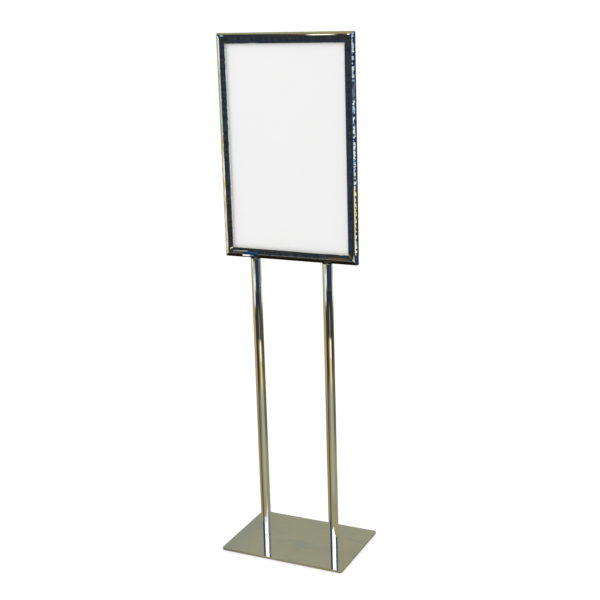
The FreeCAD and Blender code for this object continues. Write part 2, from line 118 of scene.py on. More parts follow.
class Tree:
    """The node tree of a material, a world or a modifier, with short ways to add to it."""

    def __init__(self, tree):
        self.tree = tree
        self.tree.nodes.clear()

    def add(self, kind, **settings):
        node = self.tree.nodes.new(kind)
        for name, setting in settings.items():
            setattr(node, name, setting)
        return node

    def feed(self, socket, source):
        """Join a socket to another node's output, or set it to a plain value."""
        if isinstance(source, bpy.types.NodeSocket):
            self.tree.links.new(source, socket)
        else:
            socket.default_value = source

    def maths(self, operation, *values, clamp=False):
        node = self.add("ShaderNodeMath", operation=operation, use_clamp=clamp)
        for socket, source in zip(node.inputs, values):
            self.feed(socket, source)
        return node.outputs["Value"]

    def ramp_up(self, source, low, high, to_low=0.0, to_high=1.0):
        """Rise smoothly from one value to another as the source goes from low to high."""
        node = self.add("ShaderNodeMapRange", interpolation_type="SMOOTHSTEP")
        for name, setting in (
            ("Value", source),
            ("From Min", low),
            ("From Max", high),
            ("To Min", to_low),
            ("To Max", to_high),
        ):
            self.feed(node.inputs[name], setting)
        return node.outputs["Result"]

    def mix(self, share, first, second):
        node = self.add("ShaderNodeMix", data_type="RGBA")
        self.feed(node.inputs["Factor"], share)
        for name, source in (("A", first), ("B", second)):
            socket = next(s for s in node.inputs if s.name == name and s.type == "RGBA")
            self.feed(socket, source)
        return next(s for s in node.outputs if s.type == "RGBA")

    def noise(self, vector, scale, detail=2.0, roughness=0.5):
        node = self.add("ShaderNodeTexNoise")
        self.feed(node.inputs["Vector"], vector)
        node.inputs["Scale"].default_value = scale
        node.inputs["Detail"].default_value = detail
        node.inputs["Roughness"].default_value = roughness
        return node.outputs["Fac"]

    def patches(self, vector, scale, thresholds, detail=2.0, roughness=0.5):
        """Soft-edged patches of noise: 0 below the first threshold, 1 above the second."""
        return self.ramp_up(self.noise(vector, scale, detail, roughness), *thresholds)

    def split(self, vector):
        """The X, Y and Z of a vector, by name."""
        node = self.add("ShaderNodeSeparateXYZ")
        self.feed(node.inputs["Vector"], vector)
        return node.outputs

    def stretch(self, vector, scale):
        node = self.add("ShaderNodeMapping")
        self.feed(node.inputs["Vector"], vector)
        node.inputs["Scale"].default_value = scale
        return node.outputs["Vector"]

    def bump(self, height, distance, normal=None):
        node = self.add("ShaderNodeBump")
        node.inputs["Distance"].default_value = distance
        self.feed(node.inputs["Height"], height)
        if normal is not None:
            self.feed(node.inputs["Normal"], normal)
        return node.outputs["Normal"]


def shade(red, green, blue):
    """Turn a colour as a screen shows it, 0 to 255, into the linear colour that nodes take."""
    channels = []
    for level in (red, green, blue):
        part = level / 255
        channels.append(part / 12.92 if part <= 0.04045 else ((part + 0.055) / 1.055) ** 2.4)
    return (*channels, 1.0)


def new_material(name):
    material = bpy.data.materials.new(name)
    material.use_nodes = True
    tree = Tree(material.node_tree)
    surface = tree.add("ShaderNodeBsdfPrincipled")
    output = tree.add("ShaderNodeOutputMaterial")
    tree.feed(output.inputs["Surface"], surface.outputs["BSDF"])
    place = tree.add("ShaderNodeTexCoord").outputs["Object"]
    return material, tree, surface, place


# Materials

# Painted shade: a dark tint in the base colour where chrome faces down and little light reaches. It
# fades in between two slopes, given as the Z of the surface's normal.
UNDERSIDE_PAINTED_SHADE = (0.22, 0.2, 0.18, 1)
PAINTED_SHADE_FULL = -0.06
PAINTED_SHADE_GONE = -0.002

SCRATCH_DEPTH = 0.0004 * MM
RING_DEPTH = 0.004 * MM
PEBBLE_DEPTH = 0.03 * MM
FIBRE_DEPTH = 0.006 * MM


def lay_cool_tint(tree, place, plating, tarnish_and_reflection):
    """Lay a cool tint over plating: tarnish in drawn-out clouds, and most of all at the left edge of the
    plate, where it is a painted reflection of cool light.
    """
    clouds = tree.patches(tree.stretch(place, (7, 16, 1)), 1.0, (0.5, 0.7), detail=5.0, roughness=0.6)
    plating = tree.mix(clouds, plating, tarnish_and_reflection)
    # Painted reflection: the cool tint at the plate's left edge stands for cool light mirrored there
    painted_reflection_left = tree.ramp_up(tree.split(place)["X"], -0.17, -0.09, 0.8, 0.0)
    return tree.mix(painted_reflection_left, plating, tarnish_and_reflection)


def chrome(
    name, clean, stained, smooth, dull, ripple_size, ripple_height, grain_direction, tarnish_and_reflection=None
):
    """Polished plating: faint ripples, rubbed hair scratches, smudges, a warm stain and painted shade
    below.
    """
    material, tree, surface, place = new_material(name)
    surface.inputs["Metallic"].default_value = 1.0

    stain = tree.patches(place, 9.0, (0.45, 0.75), detail=4.0)
    plating = tree.mix(stain, clean, stained)
    if tarnish_and_reflection is not None:
        plating = lay_cool_tint(tree, place, plating, tarnish_and_reflection)
    facing_up = tree.split(tree.add("ShaderNodeNewGeometry").outputs["Normal"])["Z"]
    # Painted shade: the base colour turns dark where the surface faces down
    painted_shade = tree.ramp_up(facing_up, PAINTED_SHADE_FULL, PAINTED_SHADE_GONE, 1.0, 0.0)
    tree.feed(surface.inputs["Base Color"], tree.mix(painted_shade, plating, UNDERSIDE_PAINTED_SHADE))

    smudge = tree.patches(place, 26.0, (0.5, 0.8), detail=6.0, roughness=0.65)
    hair = tree.patches(tree.stretch(place, grain_direction), 1.0, (0.6, 0.75), detail=3.0)
    wear = tree.maths("ADD", smudge, tree.maths("MULTIPLY", hair, 0.5), clamp=True)
    tree.feed(surface.inputs["Roughness"], tree.ramp_up(wear, 0.0, 1.0, smooth, dull))

    ripple = tree.bump(tree.noise(place, 1.0 / ripple_size, detail=1.0), ripple_height)
    tree.feed(surface.inputs["Normal"], tree.bump(hair, SCRATCH_DEPTH, ripple))
    return material


def zinc_steel():
    """Bright zinc plate with a faint yellow and blue passivation and turned rings."""
    material, tree, surface, place = new_material("zinc_steel")
    surface.inputs["Metallic"].default_value = 1.0
    tint = tree.patches(place, 120.0, (0.35, 0.65), detail=3.0)
    yellow, blue = (0.62, 0.6, 0.52, 1), (0.52, 0.57, 0.64, 1)
    tree.feed(surface.inputs["Base Color"], tree.mix(tint, yellow, blue))
    rings = tree.noise(tree.stretch(place, (40, 40, 3000)), 1.0)
    tree.feed(surface.inputs["Roughness"], tree.ramp_up(rings, 0.3, 0.7, 0.24, 0.42))
    tree.feed(surface.inputs["Normal"], tree.bump(rings, RING_DEPTH))
    return material


def pad_rubber():
    """Black moulded rubber, faintly pebbled, with grey dust on it."""
    material, tree, surface, place = new_material("pad_rubber")
    dust = tree.patches(place, 160.0, (0.5, 0.8), detail=5.0)
    black, grey = (0.018, 0.018, 0.02, 1), (0.09, 0.085, 0.08, 1)
    tree.feed(surface.inputs["Base Color"], tree.mix(dust, black, grey))
    tree.feed(surface.inputs["Roughness"], tree.ramp_up(dust, 0.0, 1.0, 0.55, 0.85))
    tree.feed(surface.inputs["Normal"], tree.bump(tree.noise(place, 1800.0), PEBBLE_DEPTH))
    return material


def card_board():
    """Coated white board: a faint fibre mottle on its faces."""
    material, tree, surface, place = new_material("card_board")
    mottle = tree.noise(place, 14.0, detail=5.0, roughness=0.6)
    greyer, whiter = (0.765, 0.765, 0.762, 1), (0.785, 0.785, 0.785, 1)
    tree.feed(surface.inputs["Base Color"], tree.mix(mottle, greyer, whiter))
    fibre = tree.noise(tree.stretch(place, (900, 900, 420)), 1.0, detail=4.0, roughness=0.7)
    tree.feed(surface.inputs["Roughness"], tree.ramp_up(fibre, 0.3, 0.7, 0.5, 0.66))
    surface.inputs["Specular IOR Level"].default_value = 0.25
    tree.feed(surface.inputs["Normal"], tree.bump(fibre, FIBRE_DEPTH))
    return material


def floor_paint():
    """Plain pale matte studio floor, which glows a little so that shadows on it stay faint."""
    material, tree, surface, place = new_material("studio_floor")
    tone = tree.noise(place, 1.5, detail=3.0)
    darker, paler = (0.36, 0.36, 0.36, 1), (0.37, 0.37, 0.37, 1)
    tree.feed(surface.inputs["Base Color"], tree.mix(tone, darker, paler))
    surface.inputs["Emission Color"].default_value = (1, 1, 1, 1)
    surface.inputs["Emission Strength"].default_value = 0.66
    surface.inputs["Roughness"].default_value = 0.9
    surface.inputs["Specular IOR Level"].default_value = 0.0
    return material


def smooth_group():
    """Nodes of a modifier that shades edges as smooth where they turn little, and sharp elsewhere."""
    group = bpy.data.node_groups.new("smooth_below_limit", "GeometryNodeTree")
    group.interface.new_socket("Geometry", in_out="INPUT", socket_type="NodeSocketGeometry")
    group.interface.new_socket("Geometry", in_out="OUTPUT", socket_type="NodeSocketGeometry")
    tree = Tree(group)
    start = tree.add("NodeGroupInput")
    end = tree.add("NodeGroupOutput")
    faces = tree.add("GeometryNodeSetShadeSmooth", domain="FACE")
    edges = tree.add("GeometryNodeSetShadeSmooth", domain="EDGE")
    angle = tree.add("GeometryNodeInputMeshEdgeAngle").outputs["Unsigned Angle"]
    flat_enough = tree.maths("LESS_THAN", angle, math.radians(SHADE_SHARP_OVER))
    tree.feed(faces.inputs["Geometry"], start.outputs["Geometry"])
    tree.feed(edges.inputs["Geometry"], faces.outputs["Geometry"])
    tree.feed(edges.inputs["Shade Smooth"], flat_enough)
    tree.feed(end.inputs["Geometry"], edges.outputs["Geometry"])
    return group


SMOOTHING = smooth_group()


def dress(piece, edge_width=0.0):
    """Ease a piece's sharp edges, then shade its flats flat and its curves smooth."""
    if edge_width:
        bevel = piece.modifiers.new("eased_edges", "BEVEL")
        bevel.width = edge_width
        bevel.segments = 2
        bevel.limit_method = "ANGLE"
        bevel.angle_limit = math.radians(BEVEL_OVER)
    smoothing = piece.modifiers.new("smoothing", "NODES")
    smoothing.node_group = SMOOTHING
    weighting = piece.modifiers.new("weighting", "WEIGHTED_NORMAL")
    weighting.keep_sharp = True
    weighting.weight = 100


def finish_node(name, material, edge_width=0.0):
    """Give a carried-over node its material, joined corners, eased edges and smooth shading."""
    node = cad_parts[name]
    for slot in node.material_slots:
        slot.link = "OBJECT"
        slot.material = material
    weld = node.modifiers.new("weld", "WELD")
    weld.merge_threshold = WELD_GAP
    dress(node, edge_width)


# Pieces built here


def new_piece(name, shape, material):
    """Turn a bmesh into an object in the scene."""
    bmesh.ops.recalc_face_normals(shape, faces=shape.faces)
    mesh = bpy.data.meshes.new(name)
    shape.to_mesh(mesh)
    shape.free()
    mesh.materials.append(material)
    piece = bpy.data.objects.new(name, mesh)
    bpy.context.scene.collection.objects.link(piece)
    return piece


def stand_in(piece, node, body):
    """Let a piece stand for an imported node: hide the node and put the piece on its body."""
    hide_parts(node)
    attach(piece, body)


def skin(shape, rings):
    """Join each ring of vertices to the next with quads."""
    count = len(rings[0])
    for ring, following in zip(rings, rings[1:]):
        for index in range(count):
            after = (index + 1) % count
            shape.faces.new((ring[index], ring[after], following[after], following[index]))


def skin_round(shape, rings):
    """Skin a run of rings that comes back to its first one, so that the skin has no open edge."""
    skin(shape, rings + rings[:1])


def skin_with_ends(shape, rings):
    """Skin a run of rings and close it with a face at each end."""
    skin(shape, rings)
    shape.faces.new(rings[0])
    shape.faces.new(rings[-1])


def cut_away(piece, cutter):
    """Subtract one piece from another for good, join corners that meet, and remove the cutter."""
    boolean = piece.modifiers.new("cut", "BOOLEAN")
    boolean.operation = "DIFFERENCE"
    boolean.solver = "EXACT"
    boolean.object = cutter
    graph = bpy.context.evaluated_depsgraph_get()
    cut_mesh = bpy.data.meshes.new_from_object(piece.evaluated_get(graph))
    shape = bmesh.new()
    shape.from_mesh(cut_mesh)
    bmesh.ops.remove_doubles(shape, verts=shape.verts, dist=WELD_GAP)
    shape.to_mesh(cut_mesh)
    shape.free()
    piece.modifiers.remove(boolean)
    piece.data = cut_mesh
    bpy.data.objects.remove(cutter)


def arc(centre, radius, first, last, steps=10):
    """Points of an arc, from one angle to another in degrees."""
    points = []
    for step in range(steps + 1):
        angle = math.radians(first + (last - first) * step / steps)
        points.append((centre[0] + radius * math.cos(angle), centre[1] + radius * math.sin(angle)))
    return points


def circle(shape, x, y, radius, height, segments):
    """Level ring of vertices about an upright axis at x and y."""
    ring = []
    for index in range(segments):
        angle = math.tau * index / segments
        point = (x + radius * math.cos(angle), y + radius * math.sin(angle), height)
        ring.append(shape.verts.new(point))
    return ring


def make_post(side, material):
    """Round tube with eased ends, in short lengths so that none of its faces is a long sliver."""
    node = f"{side}_post"
    low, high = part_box(node)
    middle = (low + high) / 2
    radius = (high.x - low.x) / 2
    inner = radius - TUBE_WALL
    straight = high.z - low.z - 2 * POST_EASE
    heights = []
    for step in range(POST_LENGTHS + 1):
        heights.append(low.z + POST_EASE + straight * step / POST_LENGTHS)
    outline = [(radius - POST_EASE, low.z)]
    outline += [(radius, height) for height in heights]
    outline += [(radius - POST_EASE, high.z)]
    outline += [(inner, height) for height in reversed(heights)]
    shape = bmesh.new()
    rings = []
    for size, height in outline:
        rings.append(circle(shape, middle.x, middle.y, size, height, ROUND_SEGMENTS))
    skin_round(shape, rings)
    piece = new_piece(f"{node}_tube", shape, material)
    dress(piece)
    stand_in(piece, node, "stand")


def member_outline(face, half_depth, groove_floor, inset):
    """Outline of the slotted tube, or of its cavity when inset by the wall, as (depth, height) points.

    Height runs from the member's half-oval outer edge to its inner edge, where the groove is.
    """
    top = face - inset
    inner = INNER_ROUND - inset
    lip = CAVITY_LIP_ROUND if inset else LIP_ROUND
    wall = GROOVE_GAP / 2 + inset
    lean = math.acos((FLANK_ROUND - half_depth) / (FLANK_ROUND - NOSE_ROUND))
    flank_height = NOSE_ROUND + (FLANK_ROUND - NOSE_ROUND) * math.sin(lean)
    flank_centre = (FLANK_ROUND - half_depth, flank_height)
    bend = math.degrees(lean)
    front = [(-wall, groove_floor - inset)]
    front += arc((-wall - lip, top - lip), lip, 0, 90, steps=4)
    front += arc((inner + inset - half_depth, top - inner), inner, 90, 180, steps=6)
    front += arc(flank_centre, FLANK_ROUND - inset, 180, 180 + bend, steps=8)
    front += arc((0, NOSE_ROUND), NOSE_ROUND - inset, 180 + bend, 270, steps=12)[1:]
    return front + [(-depth, height) for depth, height in reversed(front[:-1])]


def mitre_reach(half_length, height, inset):
    """How far along the member its mitred end reaches at a height, with the outer tip rounded.

    The cavity, which has an inset, stops short of the tip. The tip's round runs into the mitre where
    it has turned by 45 degrees.
    """
    if inset:
        return half_length - max(height, CORNER_FILL)
    if height < MITRE_ROUND * (1 - math.sin(math.radians(45))):
        return half_length - MITRE_ROUND + math.sqrt(MITRE_ROUND**2 - (MITRE_ROUND - height) ** 2)
    return half_length - height


def member_rings(shape, outline, half_length, inset, place):
    """Rings of vertices along a mitred member, from one end to the other.

    Place gives the point at a distance along from the member's middle, a depth and a height.
    """
    rings = []
    for step in range(MEMBER_LENGTHS + 1):
        share = 2 * step / MEMBER_LENGTHS - 1
        ring = []
        for depth, height in outline:
            reach = share * mitre_reach(half_length, height, inset)
            ring.append(shape.verts.new(place(reach, depth, height)))
        rings.append(ring)
    return rings


def make_member(node, material):
    """One mitred length of slotted tube; the top rail is also slotted right through for the card."""
    low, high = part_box(node)
    if node.endswith("stile"):
        across, along = 0, 2
        start, end = frame_bottom, frame_top
    else:
        across, along = 2, 0
        start, end = frame_left, frame_right
    middle = (start + end) / 2
    half_length = (end - start) / 2
    face = high[across] - low[across]
    inwards = 1 if node in ("left_stile", "bottom_rail") else -1
    outer_edge = low[across] if inwards > 0 else high[across]
    groove_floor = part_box("sign_card")[0].z - frame_bottom

    def place(reach, depth, height):
        point = [0.0, depth, 0.0]
        point[along] = middle + reach
        point[across] = outer_edge + inwards * height
        return point

    shape = bmesh.new()
    surfaces = []
    for inset in (0, TUBE_WALL):
        outline = member_outline(face, (high.y - low.y) / 2, groove_floor, inset)
        surfaces.append(member_rings(shape, outline, half_length, inset, place))
    outside, cavity = surfaces
    skin_round(shape, outside + cavity[::-1])
    piece = new_piece(f"{node}_tube", shape, material)
    if node == "top_rail":
        cut_card_slot(piece, half_length - groove_floor, high.z - groove_floor, high.z, material)
    if node == "bottom_rail":
        for side in SIDES:
            hole_end = low.z + STUD_HOLE_DEPTH
            plug = make_plug(material, post_middle(side), STUD_HOLE / 2, low.z - MM, hole_end)
            cut_away(piece, plug)
    dress(piece, MEMBER_BEVEL)
    stand_in(piece, node, "stand")


def cut_card_slot(piece, half_width, groove_floor, top, material):
    """Open the top rail from its groove to its top edge, so that the card can be drawn out."""
    overlap = 0.5 * MM
    slot_low = (-half_width, -SLOT_GAP / 2, groove_floor - overlap)
    slot_high = (half_width, SLOT_GAP / 2, top + MM)
    cut_away(piece, make_box(slot_low, slot_high, material))


def make_box(low, high, material):
    """Plain box that cuts the card's slot."""
    shape = bmesh.new()
    bmesh.ops.create_cube(shape, size=1.0)
    for vertex in shape.verts:
        for axis in range(3):
            vertex.co[axis] = high[axis] if vertex.co[axis] > 0 else low[axis]
    return new_piece("cutter", shape, material)


def make_plug(material, x, radius, bottom, top, sink_radius=None):
    """Round plug that cuts a hole, with a 45 degree countersink at its bottom if asked."""
    outline = [(radius, bottom), (radius, top)]
    if sink_radius is not None:
        overrun = MM
        sink_mouth = (sink_radius + overrun, bottom - overrun)
        sink_end = (radius, bottom + sink_radius - radius)
        outline = [sink_mouth, sink_end, (radius, top)]
    shape = bmesh.new()
    rings = [circle(shape, x, 0, size, height, HOLE_SEGMENTS) for size, height in outline]
    skin_with_ends(shape, rings)
    return new_piece("cutter", shape, material)


def post_middle(side):
    """X of a post's axis, where its screw and its stud are."""
    low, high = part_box(f"{side}_post")
    return (low.x + high.x) / 2


def make_plate(material):
    """Base plate with round corners and rounded edges, drilled and countersunk from below."""
    low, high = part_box("base_plate")
    thick = high.z - low.z
    edge = []
    for step in range(PLATE_EDGE_STEPS + 1):
        angle = math.radians(90 * step / PLATE_EDGE_STEPS)
        edge.append((PLATE_EDGE * (1 - math.sin(angle)), PLATE_EDGE * (1 - math.cos(angle))))
    edge += [(inset, thick - rise) for inset, rise in reversed(edge)]
    shape = bmesh.new()
    rings = []
    for inset, rise in edge:
        ring = []
        for quarter, (side_x, side_y) in enumerate(((1, 1), (-1, 1), (-1, -1), (1, -1))):
            centre = (side_x * (high.x - PLATE_CORNER), side_y * (high.y - PLATE_CORNER))
            first = 90 * quarter
            for x, y in arc(centre, PLATE_CORNER - inset, first, first + 90, steps=16):
                ring.append(shape.verts.new((x, y, low.z + rise)))
        rings.append(ring)
    skin_with_ends(shape, rings)
    piece = new_piece("base_plate_polished", shape, material)
    for side in SIDES:
        x = post_middle(side)
        plug = make_plug(material, x, SCREW_HOLE / 2, low.z, high.z + MM, SINK_WIDTH / 2)
        cut_away(piece, plug)
    dress(piece)
    stand_in(piece, "base_plate", "stand")


def make_card(material):
    """Show card, very slightly bowed, with soft cut edges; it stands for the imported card."""
    low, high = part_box("sign_card")
    half_thick = (high.y - low.y) / 2
    shape = bmesh.new()
    grid = {}
    for side in (-1, 1):
        for row in range(CARD_ROWS + 1):
            for column in range(CARD_COLUMNS + 1):
                across = column / CARD_COLUMNS
                up = row / CARD_ROWS
                bulge = CARD_BOW * math.sin(math.pi * across) * math.sin(math.pi * up)
                point = (
                    low.x + (high.x - low.x) * across,
                    side * half_thick + bulge,
                    low.z + (high.z - low.z) * up,
                )
                grid[side, row, column] = shape.verts.new(point)
    for side in (-1, 1):
        for row in range(CARD_ROWS):
            for column in range(CARD_COLUMNS):
                ring = [
                    grid[side, row, column],
                    grid[side, row, column + 1],
                    grid[side, row + 1, column + 1],
                    grid[side, row + 1, column],
                ]
                shape.faces.new(ring if side < 0 else ring[::-1])
    rim = (
        [(0, column) for column in range(CARD_COLUMNS)]
        + [(row, CARD_COLUMNS) for row in range(CARD_ROWS)]
        + [(CARD_ROWS, column) for column in range(CARD_COLUMNS, 0, -1)]
        + [(row, 0) for row in range(CARD_ROWS, 0, -1)]
    )
    for first, second in zip(rim, rim[1:] + rim[:1]):
        shape.faces.new((grid[-1, *second], grid[-1, *first], grid[1, *first], grid[1, *second]))
    card = new_piece("show_card", shape, material)
    dress(card, CARD_BEVEL)
    stand_in(card, "sign_card", "card")


# The studio


def paint(tree, colour, height, panels):
    """Lay panels over a colour, each over the ones before it.

    A panel is its tone, what it is placed across by (turn or sideways), its range of that, its range
    of height, and how softly it ends in each.
    """
    for tone, source, span, height_range, soft in panels:
        masks = []
        for value, (low, high), blur in ((source, span, soft[0]), (height, height_range, soft[1])):
            masks.append(tree.ramp_up(value, low - blur, low + blur))
            masks.append(tree.ramp_up(value, high - blur, high + blur, 1.0, 0.0))
        share = masks[0]
        for mask in masks[1:]:
            share = tree.maths("MULTIPLY", share, mask)
        colour = tree.mix(share, colour, tone)
    return colour


def streaks(tree, turn, height, turn_size, height_size, detail=2.0):
    """Noise whose patches have a given size in degrees."""
    place = tree.add("ShaderNodeCombineXYZ")
    tree.feed(place.inputs["X"], tree.maths("DIVIDE", turn, turn_size))
    tree.feed(place.inputs["Y"], tree.maths("DIVIDE", height, height_size))
    return tree.noise(place.outputs["Vector"], 1.0, detail=detail, roughness=0.55)


def bead_chain(tree, turn, height):
    """Chain of bright beads, dark to the right of them, for the wavy sheet glass of the windows."""
    sway = streaks(tree, 0.0, height, 1.0, 0.3)
    edge = tree.ramp_up(sway, 0.3, 0.7, 26.0, 72.0)
    past = tree.maths("SUBTRACT", turn, edge)
    lit = tree.ramp_up(past, -7.0, 7.0, 1.0, 0.0)
    beads = streaks(tree, turn, height, 120.0, 0.15, detail=1.0)
    gaps = tree.ramp_up(beads, 0.5, 0.58, 1.0, 0.0)
    specks = tree.ramp_up(streaks(tree, turn, height, 34.0, 0.12), 0.64, 0.69)
    chain = tree.maths("MAXIMUM", tree.maths("MULTIPLY", lit, gaps), specks)
    return tree.maths("MULTIPLY", chain, tree.ramp_up(turn, 66.0, 80.0, 1.0, 0.0))


# Lights brighter than white paper: they stay white after two reflections, or through the painted
# underside shade
BRIGHT_SKY = (1.5, 1.5, 1.5, 1)
BRIGHT_LAMP = (4.2, 4.4, 4.8, 1)
BLUE_LAMP = (0.2, 1.2, 2.2, 1)
WARM_LAMP = (1.7, 1.6, 1.2, 1)


def plain_room(tree, height):
    """The room without its furniture: tones by height, from the floor underfoot to the ceiling."""
    ramp = tree.add("ShaderNodeValToRGB")
    stops = (
        (-90, shade(60, 56, 44)),
        (-45, shade(120, 114, 86)),
        (-27, shade(156, 148, 118)),
        (-22, shade(150, 144, 108)),
        (-17, shade(150, 138, 104)),
        (-12.7, shade(178, 168, 136)),
        (0, shade(165, 170, 155)),
        (15, shade(150, 150, 130)),
        (35, shade(156, 154, 130)),
        (65, shade(156, 158, 112)),
        (80, shade(170, 171, 156)),
        (90, shade(178, 180, 176)),
    )
    elements = ramp.color_ramp.elements
    while len(elements) < len(stops):
        elements.new(0.5)
    for element, (degrees, tone) in zip(elements, stops):
        element.position = (degrees + 90) / 180
        element.color = tone
    tree.feed(ramp.inputs["Fac"], tree.maths("DIVIDE", tree.maths("ADD", height, 90.0), 180.0))
    return ramp.outputs["Color"]


def sky_patches(tree, turn, height):
    """Soft level patches in the sky beyond the glass."""
    return tree.ramp_up(streaks(tree, turn, height, 60.0, 0.35), 0.4, 0.6)


def wavy_windows(tree, turn, height):
    """Windows of wavy glass: beads of sky or of sunlit ground, and dark frames between them."""
    chain = bead_chain(tree, turn, height)
    low_share = tree.ramp_up(height, -9.4, -8.4, 1.0, 0.0)
    cool_share = tree.ramp_up(streaks(tree, turn, height, 80.0, 0.9), 0.5, 0.58)
    sunlit = tree.mix(cool_share, shade(255, 238, 186), shade(226, 240, 255))
    sky = tree.mix(sky_patches(tree, turn, height), shade(150, 200, 232), shade(236, 250, 255))
    glass = tree.mix(low_share, sky, sunlit)
    frames = tree.mix(low_share, shade(26, 44, 92), shade(50, 50, 58))
    frames = tree.mix(tree.ramp_up(turn, 84.0, 108.0), frames, shade(66, 70, 74))
    return tree.mix(chain, frames, glass)


def dark_end_tone(tree, turn, height):
    """Tone of the dark end of the room, with a fine upright and level grain."""
    upright = streaks(tree, turn, height, 0.13, 3.0)
    level = streaks(tree, turn, height, 3.0, 0.16)
    grain = tree.maths("MULTIPLY", tree.maths("ADD", upright, level), 0.5)
    return tree.mix(tree.ramp_up(grain, 0.4, 0.6), shade(34, 41, 48), shade(60, 62, 63))


def floor_panels(turn):
    """The room's floor, as far as the ends of the walls."""
    return (
        # The floor to the viewer's left, warm, and the darker floor under the stand's front
        (shade(184, 162, 118), turn, (-190, -48), (-20, -12.6), (5, 1.5)),
        (shade(158, 138, 98), turn, (-190, -48), (-25, -20), (5, 1.5)),
        (shade(48, 44, 38), turn, (-100, 40), (-95, -33), (15, 2)),
        # The floor in front: pale light, then shadows, then pale again
        (shade(230, 242, 246), turn, (-48, 8), (-15.2, -13.4), (4, 0.3)),
        (shade(230, 242, 246), turn, (-48, -16), (-13.6, -12.6), (4, 0.3)),
        (shade(46, 59, 71), turn, (2, 122), (-14.6, -12.4), (4, 0.3)),
        (shade(44, 50, 54), turn, (-16, 122), (-17.0, -14.4), (5, 0.3)),
        (shade(138, 148, 140), turn, (38, 56), (-17.0, -15.4), (5, 0.4)),
        (shade(62, 54, 40), turn, (-42, 12), (-20.0, -15.4), (5, 0.4)),
        (shade(70, 58, 38), turn, (-44, -18), (-26.4, -19.0), (4, 0.4)),
        (shade(120, 116, 96), turn, (-22, 16), (-22.0, -19.4), (5, 0.8)),
        (shade(162, 170, 146), turn, (16, 76), (-24.8, -19.0), (6, 0.6)),
        # The floor to the right: a dim corner, a sunlit streak, and a brown rim
        (shade(60, 58, 50), turn, (70, 134), (-19.2, -15.6), (7, 0.8)),
        (shade(234, 216, 162), turn, (36, 72), (-19.4, -17.6), (4, 0.5)),
        (shade(255, 252, 214), turn, (36, 72), (-18.0, -17.0), (4, 0.15)),
        (shade(104, 96, 68), turn, (92, 190), (-22.0, -18.4), (7, 1.2)),
        (shade(112, 98, 76), turn, (134, 190), (-18.8, -15.2), (6, 0.8)),
        (shade(166, 174, 174), turn, (126, 190), (-15.2, -12.5), (6, 0.4)),
        (shade(218, 230, 238), turn, (138, 190), (-15.0, -14.0), (6, 0.25)),
    )


def wall_panels(tree, turn, height, sideways):
    """A pale wall to the left with a wavy edge, and the dark end of the room with its ceiling."""
    wall_edge = tree.ramp_up(streaks(tree, 0.0, height, 1.0, 0.5), 0.3, 0.7, -16.0, 16.0)
    wavy_turn = tree.maths("ADD", turn, wall_edge)
    pale_share = tree.ramp_up(streaks(tree, turn, height, 30.0, 0.8), 0.4, 0.6)
    pale_wall = tree.mix(pale_share, shade(206, 188, 142), shade(244, 246, 236))
    dark_end = dark_end_tone(tree, turn, height)
    return (
        (shade(182, 164, 122), wavy_turn, (-190, -33), (-13.0, 12), (2, 1)),
        (pale_wall, wavy_turn, (-74, -33), (-13.4, -7.5), (5, 0.5)),
        (shade(178, 208, 206), wavy_turn, (-66, -33), (-6.6, 12), (3, 0.6)),
        (shade(228, 246, 252), wavy_turn, (-62, -33), (-3.3, 0), (3, 0.4)),
        (shade(190, 172, 134), turn, (-190, -84), (-13.4, 12), (8, 1)),
        (dark_end, turn, (-36, 13), (-12.95, 20), (2, 0.15)),
        (dark_end, turn, (-31.5, -20.5), (-13.7, -12), (0.5, 0.1)),
        (dark_end, turn, (-62, -20), (12, 47), (3, 1.5)),
        (shade(141, 107, 80), turn, (-31.6, -24.0), (31.5, 41), (0.8, 1.5)),
        (shade(150, 120, 84), turn, (-36.2, -29.0), (39, 50), (1.0, 1.5)),
        (WARM_LAMP, sideways, (-0.419, -0.4), (20.5, 34), (0.004, 1.5)),
    )


def corner_panels(tree, turn, height, sideways):
    """Lamps and a bright doorway, mirrored near the frame's corners."""
    patches = tree.ramp_up(streaks(tree, turn, height, 0.3, 0.12), 0.42, 0.6)
    blue_glass = tree.mix(patches, shade(28, 34, 50), shade(44, 92, 146))
    return (
        (shade(200, 240, 246), sideways, (-0.4871, -0.4848), (20, 34), (0.0004, 1)),
        (WARM_LAMP, sideways, (-0.3892, -0.3864), (20, 36), (0.0004, 1)),
        (shade(255, 240, 200), turn, (-29.0, -28.9), (-12.5, -12.38), (0.02, 0.02)),
        (shade(255, 255, 250), turn, (-22.82, -22.70), (-13.31, -13.2), (0.02, 0.02)),
        (blue_glass, sideways, (-0.4645, -0.4545), (-42, -12.46), (0.001, 0.06)),
        (BLUE_LAMP, sideways, (-0.4605, -0.457), (-50, -30), (0.0006, 1.5)),
        (BRIGHT_LAMP, sideways, (-0.4655, -0.46), (-58, -30.5), (0.0008, 1.5)),
        (shade(228, 232, 222), turn, (-28.86, -28.24), (-12.46, -12.36), (0.03, 0.02)),
        (shade(40, 38, 84), turn, (-28.8, -23.2), (-2.34, -2.2), (0.1, 0.03)),
        (shade(28, 56, 94), turn, (-23.3, -23.0), (-12.6, -2.5), (0.03, 0.05)),
        (shade(104, 80, 60), turn, (-24.1, -23.1), (-13.35, -12.95), (0.4, 0.12)),
    )


def glint_lamp_panels(turn):
    """Small bright lamps in the room, at the heights that the left stile mirrors, which show on it as
    glints.
    """
    tone = shade(226, 250, 250)
    glint_heights = ((-4.96, -4.84), (-6.6, -6.5), (-7.16, -7.04))
    return tuple((tone, turn, (-46, -35), glint_height, (3, 0.03)) for glint_height in glint_heights)


def window_panels(tree, turn, height):
    """The wavy windows to the right, a quiet stretch of them and a sunlit edge."""
    quiet = tree.mix(sky_patches(tree, turn, height), shade(48, 66, 82), shade(100, 122, 140))
    return (
        (wavy_windows(tree, turn, height), turn, (14, 190), (-12.82, 13), (4, 0.02)),
        (quiet, turn, (10, 84), (-5.15, -4.15), (6, 0.1)),
        (shade(246, 234, 186), turn, (10, 26), (-12.74, -9.5), (3, 0.06)),
    )


